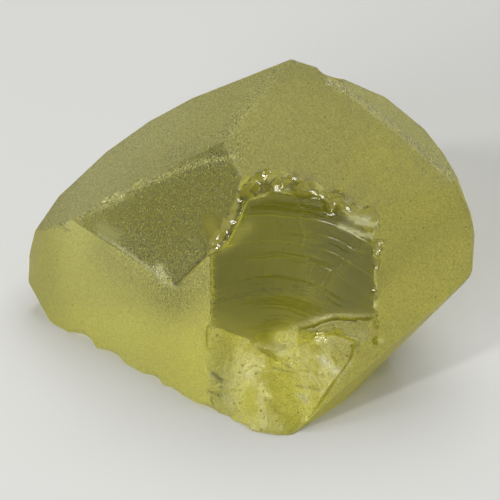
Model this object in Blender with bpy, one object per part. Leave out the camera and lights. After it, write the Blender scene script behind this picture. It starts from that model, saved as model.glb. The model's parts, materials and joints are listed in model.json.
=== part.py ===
"""Raw lemon quartz: one broken lump of clear yellow quartz that stands on a flat foot.

The lump is 46 mm wide, 33 mm deep and 33 mm high. Most of it is flat frosted faces that meet
in blunt ridges. A blow at the front corner of the foot has knocked a shell-shaped scar out of
the front ridge, and the scar is clear, with ripples round the point of the blow.

Metres, +Z up, the foot on z = 0, the origin under the middle of the lump, the front towards -Y.
"""

import math
import random

import bmesh
import bpy
from mathutils import Matrix, Vector

MM = 0.001

# The lump

BLOCK_WIDTH = 90.0
RIDGE_BEVEL = 0.22
BLUNTED_OVER = 12.0

# Each face of the lump: its bearing, with 0 facing the front and 90 the right, how far it leans
# back from upright, both in degrees, and how far it lies from the origin in mm.
FACES = {
    "front left": (-41, 7, 11.8),
    "front right": (18, 12, 16.9),
    "front corner of the foot": (-12, -4, 15.5),
    "roof to the front": (12, 49, 24.4),
    "roof to the left": (-98, 49, 22.1),
    "bevel on the upper right": (88, 58, 30.9),
    "peak, behind": (155, 45, 25.7),
    "right shoulder, behind": (130, 34, 25.95),
    "right shoulder, middle": (115, 23, 25.1),
    "right shoulder, lower": (107, 16, 24.2),
    "left shoulder, lowest": (-113, 14, 24.5),
    "left shoulder, lower": (-127, 33, 24.6),
    "left shoulder, middle": (-140, 39, 24.5),
    "left shoulder, upper": (-154, 44, 24.5),
    "left shoulder, under the peak": (-168, 47, 24.6),
    "left end, lower": (-80, -9, 21.3),
    "left end, upper": (-62, 10, 18.2),
    "left end, foot": (-68, -20, 17.25),
    "under the right side, front": (45, -26, 13.3),
    "under the right side, middle": (56, -33, 12.0),
    "under the right side, back": (108, -24, 11.8),
    "right end, lower": (78, 6, 25.0),
    "right end, upper": (82, 24, 28.9),
    "back right": (140, 5, 16.6),
    "back": (-176, -8, 13.9),
    "back left": (-130, -6, 21.0),
}

# The scar's own frame: x to the right, y up the scar and z out of the stone

SCAR_MIDDLE = (4.4, -11.7, 14.0)
SCAR_LEAN = 35.0

# The hollow left by an old flake, high on the front left. Its face dips under the front left
# face, and its right side ends in a step.
FLAKE_FACE = (-40, 16, 13.3)
FLAKE_OUTLINE = (
    (-11.6, 0.6),
    (-9.4, 2.7),
    (-7.7, 4.3),
    (-6.8, 4.9),
    (-6.2, 6.5),
    (-5.3, 8.4),
    (-4.6, 11.0),
    (-3.6, 15.0),
    (-3.6, 26.0),
    (-36.0, 26.0),
    (-36.0, -10.0),
    (-12.6, -10.0),
)

# The clear scar
SCAR_OUTLINE = (
    (-7.6, 4.0),
    (-6.9, 4.6),
    (-6.1, 4.9),
    (-5.0, 7.0),
    (-4.1, 9.1),
    (-1.6, 9.9),
    (1.8, 9.7),
    (4.2, 8.8),
    (5.4, 7.8),
    (7.3, 6.2),
    (8.0, 5.0),
    (8.15, 1.5),
    (8.1, -2.4),
    (4.4, -2.4),
    (0.9, -3.5),
    (0.5, -5.5),
    (0.0, -7.4),
    (-2.0, -6.1),
    (-4.0, -5.0),
    (-6.0, -4.2),
    (-7.8, -3.5),
)
# Going up the scar: y, and the height of its floor at the left edge, the middle and the right edge
SCAR_FLOOR = (
    (-16.0, -9.0, -4.4, -4.6),
    (-12.0, -7.6, -4.4, -4.0),
    (-8.0, -5.7, -4.7, -2.5),
    (-4.0, -3.7, -4.6, -2.8),
    (0.0, -1.8, -3.4, -1.2),
    (4.0, 0.1, -1.9, 0.5),
    (8.0, 2.0, -0.2, 1.9),
    (12.0, 3.0, 1.2, 2.4),
)
SCAR_HALF_WIDTH = 8.0
SCAR_BOWED = 1.4
SCAR_TOP = 14.0
SCAR_FLARE = 1.05

# Ripples round the point of the blow
BLOW = (-2.2, -11.0)
RIPPLE_GAP = 2.3
RIPPLE_HEIGHT = 0.10
RIPPLE_RISE = 14.0
RAY_FIRST = 2.0
RAY_LAST = 25.0
RAY_SPREAD = 75.0
RINGS = 46
RAYS = 34

# The ledge under the scar, on the right
LEDGE_OUTLINE = (
    (0.7, -3.3),
    (4.4, -2.2),
    (8.0, -2.2),
    (8.6, -5.0),
    (6.4, -5.2),
    (4.4, -4.5),
    (1.2, -4.6),
)
LEDGE_LIFT = 0.55

# The crushed toe, from the scar down to the blow
TOE_OUTLINE = (
    (-8.3, -3.0),
    (-6.0, -3.8),
    (-4.0, -4.5),
    (-2.0, -5.5),
    (-0.1, -6.6),
    (0.1, -5.2),
    (0.7, -3.9),
    (4.4, -4.0),
    (6.5, -4.7),
    (5.8, -7.0),
    (3.8, -9.6),
    (1.6, -13.0),
    (0.0, -17.0),
    (-4.5, -17.0),
    (-7.4, -12.0),
    (-8.6, -8.8),
)
TOE_FOOT = -13.2
TOE_FOOT_DEPTH = 0.25
TOE_DEEPENS = 0.62
TOE_CELL = 1.4
TOE_ROUGH = 0.28
TOE_SEED = 11

# Chips: where they lie in the scar's frame, how wide, how tall and how deep they are in mm, and
# how far they are turned in degrees
CHIPS = {
    "rim chip 1": ((-3.8, 10.2), 1.5, 1.5, 1.2, 28),
    "rim chip 2": ((-2.5, 11.2), 1.0, 0.8, 0.7, 15),
    "rim chip 3": ((-1.0, 10.7), 1.8, 1.3, 1.3, -4),
    "rim chip 4": ((0.7, 10.7), 0.8, 0.6, 0.7, -20),
    "rim chip 5": ((1.8, 9.9), 1.5, 1.2, 1.2, -18),
    "rim chip 6": ((3.4, 9.4), 0.8, 0.7, 0.8, -25),
    "rim chip 7": ((4.3, 8.7), 1.4, 1.0, 1.0, -28),
    "corner chip 1": ((6.1, 8.0), 1.1, 0.7, 0.9, -20),
    "corner chip 2": ((7.3, 7.6), 0.7, 0.8, 0.8, 10),
    "corner chip 3": ((6.0, 7.0), 1.4, 0.45, 1.0, -28),
    "corner chip 4": ((7.4, 6.3), 0.8, 0.5, 0.9, -15),
    "side chip 1": ((8.1, 0.6), 0.35, 0.7, 0.4, -20),
    "side chip 2": ((8.2, -0.9), 0.3, 0.6, 0.4, 10),
    "side chip 3": ((8.7, -4.6), 0.6, 0.5, 0.5, 30),
    "step chip": ((-5.6, 6.3), 1.0, 1.5, 1.5, -25),
    "flake tip": ((-12.8, 1.8), 1.2, 0.5, 0.4, -38),
    "pit 1": ((-7.6, -8.1), 0.9, 0.45, 0.45, -20),
    "pit 2": ((-7.8, -10.2), 0.8, 0.4, 0.4, -10),
    "ridge chip 1": ((-19.0, 9.3), 0.9, 0.35, 0.4, 25),
    "ridge chip 2": ((-17.8, 9.9), 0.7, 0.5, 0.5, 25),
    "ridge chip 3": ((-15.4, 11.0), 0.9, 0.3, 0.4, 28),
    "peak notch": ((3.9, 21.9), 1.6, 0.6, 1.5, -24),
}
CHIP_CUTS = 2

# Bites along the foot, on the front left: how far along it they lie, their radius, how deep
# they go in and how high they reach, in mm
FOOT_START = (-22.6, 3.9)
FOOT_END = (0.2, -15.9)
FOOT_BITES = (
    (-0.6, 4.3, 1.15, 1.5),
    (7.0, 3.1, 1.15, 1.6),
    (11.3, 3.6, 0.85, 1.2),
    (17.2, 1.9, 0.70, 1.2),
    (20.0, 2.5, 0.30, 0.8),
    (25.0, 3.6, 0.60, 1.1),
    (29.2, 3.4, 0.80, 1.2),
)
FOOT_SEGMENTS = 48

STONE_COLOUR = (0.48, 0.45, 0.10, 1.0)
STONE_ROUGHNESS = 0.35


def facing(bearing, lean):
    """The way a face looks, from its bearing and how far it leans back."""
    turn, tip = math.radians(bearing), math.radians(lean)
    return Vector((math.sin(turn) * math.cos(tip), -math.cos(turn) * math.cos(tip), math.sin(tip)))


def scar_axes():
    out = facing(0, SCAR_LEAN)
    right = Vector((1, 0, 0))
    return right, out.cross(right), out


def scar_frame():
    """Places a shape drawn in the scar's frame, in mm, on the stone."""
    turned = Matrix(scar_axes()).transposed().to_4x4()
    return Matrix.Scale(MM, 4) @ Matrix.Translation(SCAR_MIDDLE) @ turned


def skin_height(x, y):
    """How high the unbroken lump stands over a point of the scar's frame."""
    right, up, out = scar_axes()
    foot = Vector(SCAR_MIDDLE) + right * x + up * y
    heights = []
    for bearing, lean, distance in FACES.values():
        way = facing(bearing, lean)
        if way.dot(out) > 0.05:
            heights.append((distance - way.dot(foot)) / way.dot(out))
    return min(heights)


def clear_scene():
    for thing in list(bpy.data.objects):
        bpy.data.objects.remove(thing, do_unlink=True)


def new_collection(name, hidden=False):
    made = bpy.data.collections.new(name)
    made.hide_render = hidden
    bpy.context.scene.collection.children.link(made)
    return made


def place(name, shape, home):
    """Makes an object of a bmesh drawn in metres."""
    bmesh.ops.triangulate(shape, faces=shape.faces)
    bmesh.ops.recalc_face_normals(shape, faces=shape.faces)
    mesh = bpy.data.meshes.new(name)
    shape.to_mesh(mesh)
    shape.free()
    made = bpy.data.objects.new(name, mesh)
    home.objects.link(made)
    return made


def place_cutter(name, shape, home):
    made = place(name, shape, home)
    made.hide_render = True
    made.display_type = "WIRE"
    return made


def cleave(shape, face, keep_inside=True):
    """Cuts a closed shape at one face and closes it again."""
    bearing, lean, distance = face
    way = facing(bearing, lean)
    whole = shape.verts[:] + shape.edges[:] + shape.faces[:]
    cut = bmesh.ops.bisect_plane(
        shape,
        geom=whole,
        plane_co=way * distance * MM,
        plane_no=way,
        clear_outer=keep_inside,
        clear_inner=not keep_inside,
    )
    rim = [part for part in cut["geom_cut"] if isinstance(part, bmesh.types.BMEdge)]
    if rim:
        bmesh.ops.contextual_create(shape, geom=rim)


def lump(home):
    """The whole stone before it was struck: a block cleft to its faces, on a flat foot."""
    shape = bmesh.new()
    bmesh.ops.create_cube(shape, size=BLOCK_WIDTH * MM)
    bmesh.ops.translate(shape, vec=(0, 0, BLOCK_WIDTH * MM / 2), verts=shape.verts)
    for face in FACES.values():
        cleave(shape, face)
    bmesh.ops.remove_doubles(shape, verts=shape.verts, dist=0.02 * MM)
    sharp = [edge for edge in shape.edges if edge.calc_face_angle(0) > math.radians(BLUNTED_OVER)]
    above = [edge for edge in sharp if max(end.co.z for end in edge.verts) > 0.5 * MM]
    bmesh.ops.bevel(shape, geom=above, offset=RIDGE_BEVEL * MM, segments=1, profile=0.5)
    return place("lemon_quartz", shape, home)


def prism(outline, low, high, flare=1.0):
    """A block on an outline in the scar's frame. The flare widens it outwards."""
    shape = bmesh.new()
    middle = sum((Vector(point) for point in outline), Vector((0, 0))) / len(outline)
    rings = []
    for height, grow in ((low, 1.0), (high, flare)):
        spread = [middle + (Vector(point) - middle) * grow for point in outline]
        rings.append([shape.verts.new((point.x, point.y, height)) for point in spread])
    count = len(outline)
    for i in range(count):
        j = (i + 1) % count
        shape.faces.new((rings[0][i], rings[0][j], rings[1][j], rings[1][i]))
    shape.faces.new(reversed(rings[0]))
    shape.faces.new(rings[1])
    shape.transform(scar_frame())
    return shape


def block_over(rows):
    """A block with a flat top whose underside runs through rows of points."""
    shape = bmesh.new()
    under = [[shape.verts.new(point) for point in row] for row in rows]
    over = [[shape.verts.new((point[0], point[1], SCAR_TOP)) for point in row] for row in rows]
    last, end = len(rows) - 1, len(rows[0]) - 1
    for i in range(last):
        for j in range(end):
            for layer in (under, over):
                shape.faces.new((layer[i][j], layer[i + 1][j], layer[i + 1][j + 1], layer[i][j + 1]))
        for j in (0, end):
            shape.faces.new((under[i][j], under[i + 1][j], over[i + 1][j], over[i][j]))
    for j in range(end):
        for i in (0, last):
            shape.faces.new((under[i][j], under[i][j + 1], over[i][j + 1], over[i][j]))
    shape.transform(scar_frame())
    return shape


def floor_height(x, y):
    """How high the smooth floor of the scar lies over a point of the scar's frame."""
    y = max(SCAR_FLOOR[0][0], min(SCAR_FLOOR[-1][0], y))
    step = max(i for i in range(len(SCAR_FLOOR) - 1) if SCAR_FLOOR[i][0] <= y)
    before, after = SCAR_FLOOR[step], SCAR_FLOOR[step + 1]
    part = (y - before[0]) / (after[0] - before[0])
    left, middle, right = (a + (b - a) * part for a, b in zip(before[1:], after[1:]))
    across = max(-SCAR_BOWED, min(SCAR_BOWED, x / SCAR_HALF_WIDTH))
    return middle + (right - left) / 2 * across + ((left + right) / 2 - middle) * across**2


def scar_rows():
    """The floor of the scar on rays from the blow, with ripples that grow outwards."""
    rows = []
    for ring in range(RINGS + 1):
        reach = RAY_FIRST + (RAY_LAST - RAY_FIRST) * ring / RINGS
        wave = RIPPLE_HEIGHT * min(1.0, reach / RIPPLE_RISE) * math.sin(math.tau * reach / RIPPLE_GAP)
        row = []
        for ray in range(RAYS + 1):
            turn = math.radians(RAY_SPREAD * (2 * ray / RAYS - 1))
            x, y = BLOW[0] + reach * math.sin(turn), BLOW[1] + reach * math.cos(turn)
            row.append((x, y, floor_height(x, y) + wave))
        rows.append(row)
    return rows


def smooth_rows(lift):
    """A plain floor at some height over that of the scar."""
    steps = [i * 2.0 for i in range(-9, 6)]
    return [[(x, y, floor_height(x, y) + lift) for x in steps] for y in steps]


def toe_height(x, y):
    """The toe follows the floor of the scar, and thins out to the skin at the foot."""
    deep = TOE_FOOT_DEPTH + TOE_DEEPENS * max(0.0, y - TOE_FOOT)
    return max(floor_height(x, y), skin_height(x, y) - deep)


def crushed_rows():
    """The broken floor of the toe: a net of uneven cells."""
    chance = random.Random(TOE_SEED)
    rows = []
    for i in range(14):
        row = []
        for j in range(14):
            x = -10.0 + TOE_CELL * j + chance.uniform(-0.3, 0.3) * TOE_CELL
            y = -19.0 + TOE_CELL * i + chance.uniform(-0.3, 0.3) * TOE_CELL
            rough = chance.uniform(-TOE_ROUGH, TOE_ROUGH)
            row.append((x, y, toe_height(x, y) + rough))
        rows.append(row)
    return rows


def trim(cutter, outline, home):
    """Keeps the part of a cutter inside an outline of the scar's frame."""
    fence = place_cutter(cutter.name + " outline", prism(outline, -14.0, 12.0, SCAR_FLARE), home)
    step = cutter.modifiers.new("outline", "BOOLEAN")
    step.operation = "INTERSECT"
    step.solver = "EXACT"
    step.object = fence
    return cutter


def flake_cutter(home):
    shape = prism(FLAKE_OUTLINE, -40.0, 30.0)
    cleave(shape, FLAKE_FACE, keep_inside=False)
    return place_cutter("old flake", shape, home)


def chip_cutter(name, home):
    """A shell-shaped chip, pressed into the lump from its skin."""
    (x, y), across, up, deep, turn = CHIPS[name]
    shape = bmesh.new()
    bmesh.ops.create_icosphere(shape, subdivisions=CHIP_CUTS, radius=1.0)
    size = Matrix.Diagonal((across, up, deep, 1.0))
    seat = Matrix.Translation((x, y, skin_height(x, y)))
    shape.transform(scar_frame() @ seat @ Matrix.Rotation(math.radians(turn), 4, "Z") @ size)
    return place_cutter(name, shape, home)


def foot_cutter(number, home):
    """One bite out of the front left edge of the foot, widest at the ground."""
    along, radius, deep, high = FOOT_BITES[number]
    start, end = Vector(FOOT_START), Vector(FOOT_END)
    way = (end - start).normalized()
    outward = Vector((way.y, -way.x))
    middle = start + way * along + outward * (radius - deep)
    shape = bmesh.new()
    bmesh.ops.create_cone(
        shape,
        cap_ends=True,
        segments=FOOT_SEGMENTS,
        radius1=(radius + 0.3) * MM,
        radius2=(radius - deep) * MM,
        depth=(high + 1.0) * MM,
    )
    bmesh.ops.translate(shape, vec=(middle.x * MM, middle.y * MM, (high - 1.0) / 2 * MM), verts=shape.verts)
    return place_cutter("foot bite %d" % (number + 1), shape, home)


def cut(stone, cutter, solver="EXACT"):
    step = stone.modifiers.new(cutter.name, "BOOLEAN")
    step.operation = "DIFFERENCE"
    step.solver = solver
    step.object = cutter


def stone_material():
    made = bpy.data.materials.new("frosted quartz")
    made.use_nodes = True
    look = made.node_tree.nodes["Principled BSDF"]
    look.inputs["Base Color"].default_value = STONE_COLOUR
    look.inputs["Roughness"].default_value = STONE_ROUGHNESS
    look.inputs["Metallic"].default_value = 0.0
    return made


def main():
    clear_scene()
    shown = new_collection("raw lemon quartz")
    hidden = new_collection("cutters", hidden=True)
    stone = lump(shown)
    stone.data.materials.append(stone_material())
    cut(stone, flake_cutter(hidden))
    for number in range(len(FOOT_BITES)):
        cut(stone, foot_cutter(number, hidden))
    toe = place_cutter("toe", block_over(crushed_rows()), hidden)
    cut(stone, trim(toe, TOE_OUTLINE, hidden))
    ledge = place_cutter("ledge", block_over(smooth_rows(LEDGE_LIFT)), hidden)
    cut(stone, trim(ledge, LEDGE_OUTLINE, hidden))
    scar = place_cutter("scar", block_over(scar_rows()), hidden)
    # The exact solver loses the stone at this cut.
    cut(stone, trim(scar, SCAR_OUTLINE, hidden), solver="MANIFOLD")
    for name in CHIPS:
        cut(stone, chip_cutter(name, hidden))


main()
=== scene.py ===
# %% [markdown]
# # A raw lump of lemon quartz
#
# Lemon quartz is clear yellow quartz. A lump that was broken off a larger crystal has two kinds of
# surface. The old faces are frosted, so light goes in and out of them but no picture does. Where a
# piece was knocked off lately the stone is bare glass, with ripples round the point of the blow.
#
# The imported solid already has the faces, the scar and the foot at their real size. This script
# cuts the scar and the toe again with a finer tool, wears the skin, and gives it one material that
# is frosted or clear from place to place. Lengths are in millimetres until the very end.

# %% The solid to work from
import json
import math

import bmesh
import bpy
import numpy as np
from mathutils import Matrix, Vector, noise
from mathutils.bvhtree import BVHTree

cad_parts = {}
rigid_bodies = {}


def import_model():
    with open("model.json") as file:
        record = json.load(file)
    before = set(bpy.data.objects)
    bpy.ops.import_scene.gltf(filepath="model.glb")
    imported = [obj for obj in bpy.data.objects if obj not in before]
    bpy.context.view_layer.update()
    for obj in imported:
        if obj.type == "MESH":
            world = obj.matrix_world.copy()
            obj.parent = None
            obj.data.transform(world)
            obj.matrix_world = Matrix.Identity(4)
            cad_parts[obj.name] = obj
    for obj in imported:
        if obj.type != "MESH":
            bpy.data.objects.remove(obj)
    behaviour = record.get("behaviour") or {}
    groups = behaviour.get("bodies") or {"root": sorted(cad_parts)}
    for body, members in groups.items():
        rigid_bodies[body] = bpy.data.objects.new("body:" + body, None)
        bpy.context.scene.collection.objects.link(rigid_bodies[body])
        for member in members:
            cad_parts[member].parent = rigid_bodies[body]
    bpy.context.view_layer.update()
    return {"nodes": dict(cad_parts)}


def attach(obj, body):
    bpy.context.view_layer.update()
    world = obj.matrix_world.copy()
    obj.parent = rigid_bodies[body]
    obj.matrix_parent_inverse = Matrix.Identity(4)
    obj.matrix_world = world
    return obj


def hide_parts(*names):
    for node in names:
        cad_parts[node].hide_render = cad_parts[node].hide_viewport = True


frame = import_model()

MM = 0.001

# %% [markdown]
# ## The view
#
# The picture was taken from 35 degrees above, with a long lens: the far ridges are hardly smaller
# than the near ones. A camera that is turned to a point keeps its aim when the distance changes,
# so the aim, the angle and the distance are the values to set, and the rest follows.

# %% Camera
AIM = Vector((0.4, -5.5, 15.0))
LOOKING_DOWN = math.radians(35)
TO_THE_CAMERA = Vector((0, -math.cos(LOOKING_DOWN), math.sin(LOOKING_DOWN)))
DISTANCE = 240.0
LENS = 172.8
SENSOR = 36.0
NEAREST_SEEN = 0.01


def add_camera():
    made = bpy.data.objects.new("camera", bpy.data.cameras.new("camera"))
    made.data.lens = LENS
    made.data.sensor_width = SENSOR
    made.data.clip_start = NEAREST_SEEN
    made.location = (AIM + TO_THE_CAMERA * DISTANCE) * MM
    made.rotation_euler = (-TO_THE_CAMERA).to_track_quat("-Z", "Y").to_euler()
    bpy.context.scene.collection.objects.link(made)
    bpy.context.scene.camera = made


add_camera()
print("camera:", DISTANCE, "mm from its aim, with a lens of", LENS, "mm")

# %% [markdown]
# ## Nodes written as sums
#
# Both the shapes and the finish are worked out by nodes. Adding each node by hand takes four lines,
# and a formula disappears among them. Here one class wraps a socket, so that `a * 2 + b` adds the
# Math nodes, and one method adds every other kind of node. The formula can then be read and changed
# like any other line of the script.

# %% Sockets that take part in sums
class Value:
    """The value that comes out of a socket."""

    def __init__(self, nodes, socket):
        self.nodes = nodes
        self.socket = socket

    def maths(self, operation, *others):
        values = dict(enumerate((self, *others)))
        return self.nodes.add("ShaderNodeMath", {"operation": operation}, values)[0]

    def __add__(self, other):
        return self.maths("ADD", other)

    def __sub__(self, other):
        return self.maths("SUBTRACT", other)

    def __rsub__(self, other):
        return (self * -1.0) + other

    def __mul__(self, other):
        return self.maths("MULTIPLY", other)

    def __truediv__(self, other):
        return self.maths("DIVIDE", other)

    def __pow__(self, other):
        return self.maths("POWER", other)

    __radd__ = __add__
    __rmul__ = __mul__

    def clamped(self):
        return self.maths("MAXIMUM", 0.0).maths("MINIMUM", 1.0)

    def between(self, low, high):
        """0 up to low, 1 from high, and a soft step between."""
        sockets = {"Value": self, "From Min": low, "From Max": high}
        return self.nodes.add("ShaderNodeMapRange", {"interpolation_type": "SMOOTHSTEP"}, sockets)[0]


class Nodes:
    """Adds nodes to one tree."""

    def __init__(self, tree):
        self.tree = tree

    def add(self, kind, settings=None, sockets=None):
        """A node of a kind: its settings come first, then the values or links of its sockets."""
        made = self.tree.nodes.new(kind)
        for name, value in (settings or {}).items():
            setattr(made, name, value)
        for name, value in (sockets or {}).items():
            for one in value if isinstance(value, list) else [value]:
                if isinstance(one, Value):
                    self.tree.links.new(one.socket, made.inputs[name])
                else:
                    made.inputs[name].default_value = one
        return Outputs(self, made)

    def vector(self, operation, *values):
        """A sum on vectors, whose result is a vector or, for some, a number."""
        made = self.add("ShaderNodeVectorMath", {"operation": operation}, dict(enumerate(values)))
        return made["Value" if operation in ("DISTANCE", "DOT_PRODUCT") else "Vector"]

    def parts(self, vector):
        """The three numbers of a vector."""
        apart = self.add("ShaderNodeSeparateXYZ", {}, {0: vector})
        return apart["X"], apart["Y"], apart["Z"]

    def noise(self, where, size, detail=2.0, rough=0.5):
        """Cloudy noise from -1 to 1, with blots about as wide as size."""
        sockets = {"Vector": where, "Scale": 1.0 / size, "Detail": detail, "Roughness": rough}
        return self.add("ShaderNodeTexNoise", {}, sockets)[0] * 2.0 - 1.0


class Outputs:
    """A node's outputs, by name or by place."""

    def __init__(self, nodes, node):
        self.nodes = nodes
        self.node = node

    def __getitem__(self, name):
        return Value(self.nodes, self.node.outputs[name])


# %% [markdown]
# A Geometry Nodes tree is a tool with dials. The dials are its named inputs, and `worked` turns
# them on a modifier, bakes the result into a plain mesh and takes the modifier away again. A plain
# mesh can be cut, measured and painted by the next step, and nothing is worked out twice.

# %% Trees with dials
DIAL_SOCKETS = {"float": "NodeSocketFloat", "int": "NodeSocketInt", "vector": "NodeSocketVector",
                "object": "NodeSocketObject"}


def new_tool(name, dials):
    """An empty tree with a mesh going in and coming out, and the named inputs."""
    tree = bpy.data.node_groups.new(name, "GeometryNodeTree")
    tree.interface.new_socket(name="Mesh", in_out="INPUT", socket_type="NodeSocketGeometry")
    tree.interface.new_socket(name="Mesh", in_out="OUTPUT", socket_type="NodeSocketGeometry")
    for dial, kind in dials.items():
        tree.interface.new_socket(name=dial, in_out="INPUT", socket_type=DIAL_SOCKETS[kind])
    nodes = Nodes(tree)
    return nodes, nodes.add("NodeGroupInput")


def close_tool(nodes, shape, material):
    real = nodes.add("GeometryNodeRealizeInstances", {}, {0: shape})[0]
    dressed = nodes.add("GeometryNodeSetMaterial", {}, {0: real, "Material": material})[0]
    nodes.add("NodeGroupOutput", {}, {0: dressed})
    return nodes.tree


def plain_mesh(thing):
    """The mesh of an object with its modifiers carried out and taken away."""
    bpy.context.view_layer.update()
    graph = bpy.context.evaluated_depsgraph_get()
    mesh = bpy.data.meshes.new_from_object(thing.evaluated_get(graph), depsgraph=graph)
    thing.modifiers.clear()
    thing.data = mesh
    return thing


def worked(thing, tree, dials):
    """The object after a tool has worked on it."""
    step = thing.modifiers.new(tree.name, "NODES")
    step.node_group = tree
    for socket in tree.interface.items_tree:
        if socket.in_out == "INPUT" and socket.name in dials:
            step[socket.identifier] = dials[socket.name]
    return plain_mesh(thing)


def new_object(name, points, faces):
    mesh = bpy.data.meshes.new(name)
    mesh.from_pydata(points, [], faces)
    made = bpy.data.objects.new(name, mesh)
    bpy.context.scene.collection.objects.link(made)
    return made


def remove(*things):
    for thing in things:
        bpy.data.objects.remove(thing, do_unlink=True)


# %% [markdown]
# ## The scar's own frame
#
# The scar faces the camera almost squarely. In a frame with x to the right, y up the scar and z out
# of the stone, its floor is a height field and its outline a flat drawing, which is far easier to
# write down than points in the world.

# %% From the scar's frame to the world, in millimetres
SCAR_MIDDLE = Vector((4.4, -11.7, 14.0))
OUT = TO_THE_CAMERA
RIGHT = Vector((1, 0, 0))
UP = OUT.cross(RIGHT)
TO_WORLD = Matrix.Translation(SCAR_MIDDLE) @ Matrix((RIGHT, UP, OUT)).transposed().to_4x4()
TO_SCAR = TO_WORLD.inverted()
print("the scar's middle:", [round(part, 1) for part in SCAR_MIDDLE], "mm")

# %% [markdown]
# ## The blank
#
# The visible stone starts as a copy of the solid. Its triangles come loose, each with corners of its
# own, so they are merged first. A search tree over them then tells how high the skin lies over any
# point of the scar's frame, which is how chips find their seat.

# %% A copy of the solid, in the scar's frame
HIGH_OVER_THE_STONE = 60.0
ONE_CORNER = 1e-4


def blank_stone():
    shape = bmesh.new()
    shape.from_mesh(frame["nodes"]["lemon_quartz"].data)
    shape.transform(TO_SCAR @ Matrix.Scale(1 / MM, 4))
    bmesh.ops.remove_doubles(shape, verts=shape.verts, dist=ONE_CORNER)
    made = new_object("stone", [], [])
    shape.to_mesh(made.data)
    shape.free()
    return made


stone = blank_stone()
skin = BVHTree.FromPolygons([corner.co for corner in stone.data.vertices],
                            [face.vertices for face in stone.data.polygons])


def seat(x, y):
    """The point of the blank's skin over a point of the scar's frame."""
    return skin.ray_cast(Vector((x, y, HIGH_OVER_THE_STONE)), Vector((0, 0, -1)))[0]


print("blank:", len(stone.data.polygons), "faces")

# %% [markdown]
# ## How old each face is, and the light and shade painted on it
#
# A face frosts as it ages: wind and sand pit it, and a hazy one turns whiter and duller than a young
# one. Here every old face gets a tint, a coarseness of grain and a share of clearness. The tints also
# hold painted light and shade: a face that more light falls on gets a lighter tint, and one turned
# away from the light a darker one. The faces could be marked by number, but the numbers change with
# every change to the solid. So each is told by the way it faces and by how far out it lies, and
# whatever is not in the list is a worn edge or a small break. The looks are kept on a second copy of
# the blank, from which the finished skin reads them later on.

# %% The look of the old faces
# Bearing and lean in degrees and distance in mm, then tint (partly painted light and shade), grain and
# clearness
OLD_FACES = {
    "front left": (-41, 8, 11.8, (0.86, 0.85, 0.33), 0.35, 0.10),
    "old flake": (-40, 16, 13.3, (0.20, 0.195, 0.005), 1.10, 0.50),
    "front right": (18, 12, 16.9, (0.72, 0.70, 0.34), 0.55, 0.15),
    "roof to the front": (12, 49, 24.4, (0.60, 0.585, 0.30), 0.60, 0.15),
    "roof to the left": (-98, 49, 22.1, (0.67, 0.665, 0.34), 1.10, 0.05),
    "bevel on the upper right": (88, 58, 30.9, (1.0, 1.0, 0.85), 0.90, 0.05),
    "peak, behind": (155, 45, 25.7, (0.66, 0.64, 0.30), 0.50, 0.00),
    "left shoulder, under the peak": (-168, 47, 24.6, (0.66, 0.64, 0.30), 0.50, 0.00),
    "left end, upper": (-62, 10, 18.2, (0.90, 0.87, 0.30), 0.20, 0.05),
    "left end, foot": (-68, -20, 17.25, (0.90, 0.87, 0.30), 0.20, 0.05),
    "under the right side, front": (45, -26, 13.3, (0.70, 0.66, 0.24), 0.40, 0.20),
    "under the right side, middle": (56, -33, 12.0, (0.70, 0.66, 0.24), 0.40, 0.20),
    "under the right side, back": (108, -24, 11.8, (0.70, 0.67, 0.27), 0.40, 0.00),
    "right end, lower": (78, 6, 25.0, (0.76, 0.73, 0.30), 0.40, 0.00),
    "back right": (140, 5, 16.6, (0.70, 0.67, 0.27), 0.40, 0.00),
    "back": (-176, -8, 13.9, (0.70, 0.67, 0.27), 0.40, 0.00),
    "back left": (-130, -6, 21.0, (0.70, 0.67, 0.27), 0.40, 0.00),
}
WORN_EDGE = ((0.88, 0.87, 0.36), 0.40, 0.15)
LEDGE = ((0.42, 0.41, 0.06), 0.80, 0.10)
LEDGE_LOW = (0.4, -5.4)
LEDGE_HIGH = (8.8, -2.0)
LEDGE_FACES_OUT = 0.3
SAME_WAY = 0.9995
SAME_PLANE = 0.15


def facing(bearing, lean):
    """The outward direction of a face, in the scar's frame."""
    bearing, lean = math.radians(bearing), math.radians(lean)
    level = math.cos(lean)
    out = Vector((math.sin(bearing) * level, -math.cos(bearing) * level, math.sin(lean)))
    return TO_SCAR.to_3x3() @ out


def aged_and_shaded_copy():
    """A copy of the blank whose faces carry tint, with painted light and shade in it, grain and clearness.
    """
    made = new_object("old faces", [], [])
    made.data = stone.data.copy()
    looks = []
    for face in made.data.polygons:
        look = WORN_EDGE
        for bearing, lean, distance, *own in OLD_FACES.values():
            out = facing(bearing, lean)
            reach = (TO_WORLD @ face.center).dot(TO_WORLD.to_3x3() @ out)
            if face.normal.dot(out) > SAME_WAY and abs(reach - distance) < SAME_PLANE:
                look = own
        in_width = LEDGE_LOW[0] < face.center.x < LEDGE_HIGH[0]
        in_height = LEDGE_LOW[1] < face.center.y < LEDGE_HIGH[1]
        if look is WORN_EDGE and in_width and in_height and face.normal.z > LEDGE_FACES_OUT:
            look = LEDGE
        looks.append(look)
    tints = made.data.attributes.new("tint", "FLOAT_COLOR", "FACE")
    tints.data.foreach_set("color", [part for look in looks for part in (*look[0], 1.0)])
    for place, name in enumerate(("grain", "clear"), 1):
        numbers = made.data.attributes.new(name, "FLOAT", "FACE")
        numbers.data.foreach_set("value", [look[place] for look in looks])
    print("old faces:", sum(look is not WORN_EDGE for look in looks), "of", len(looks))
    return made


old_faces = aged_and_shaded_copy()

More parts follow.
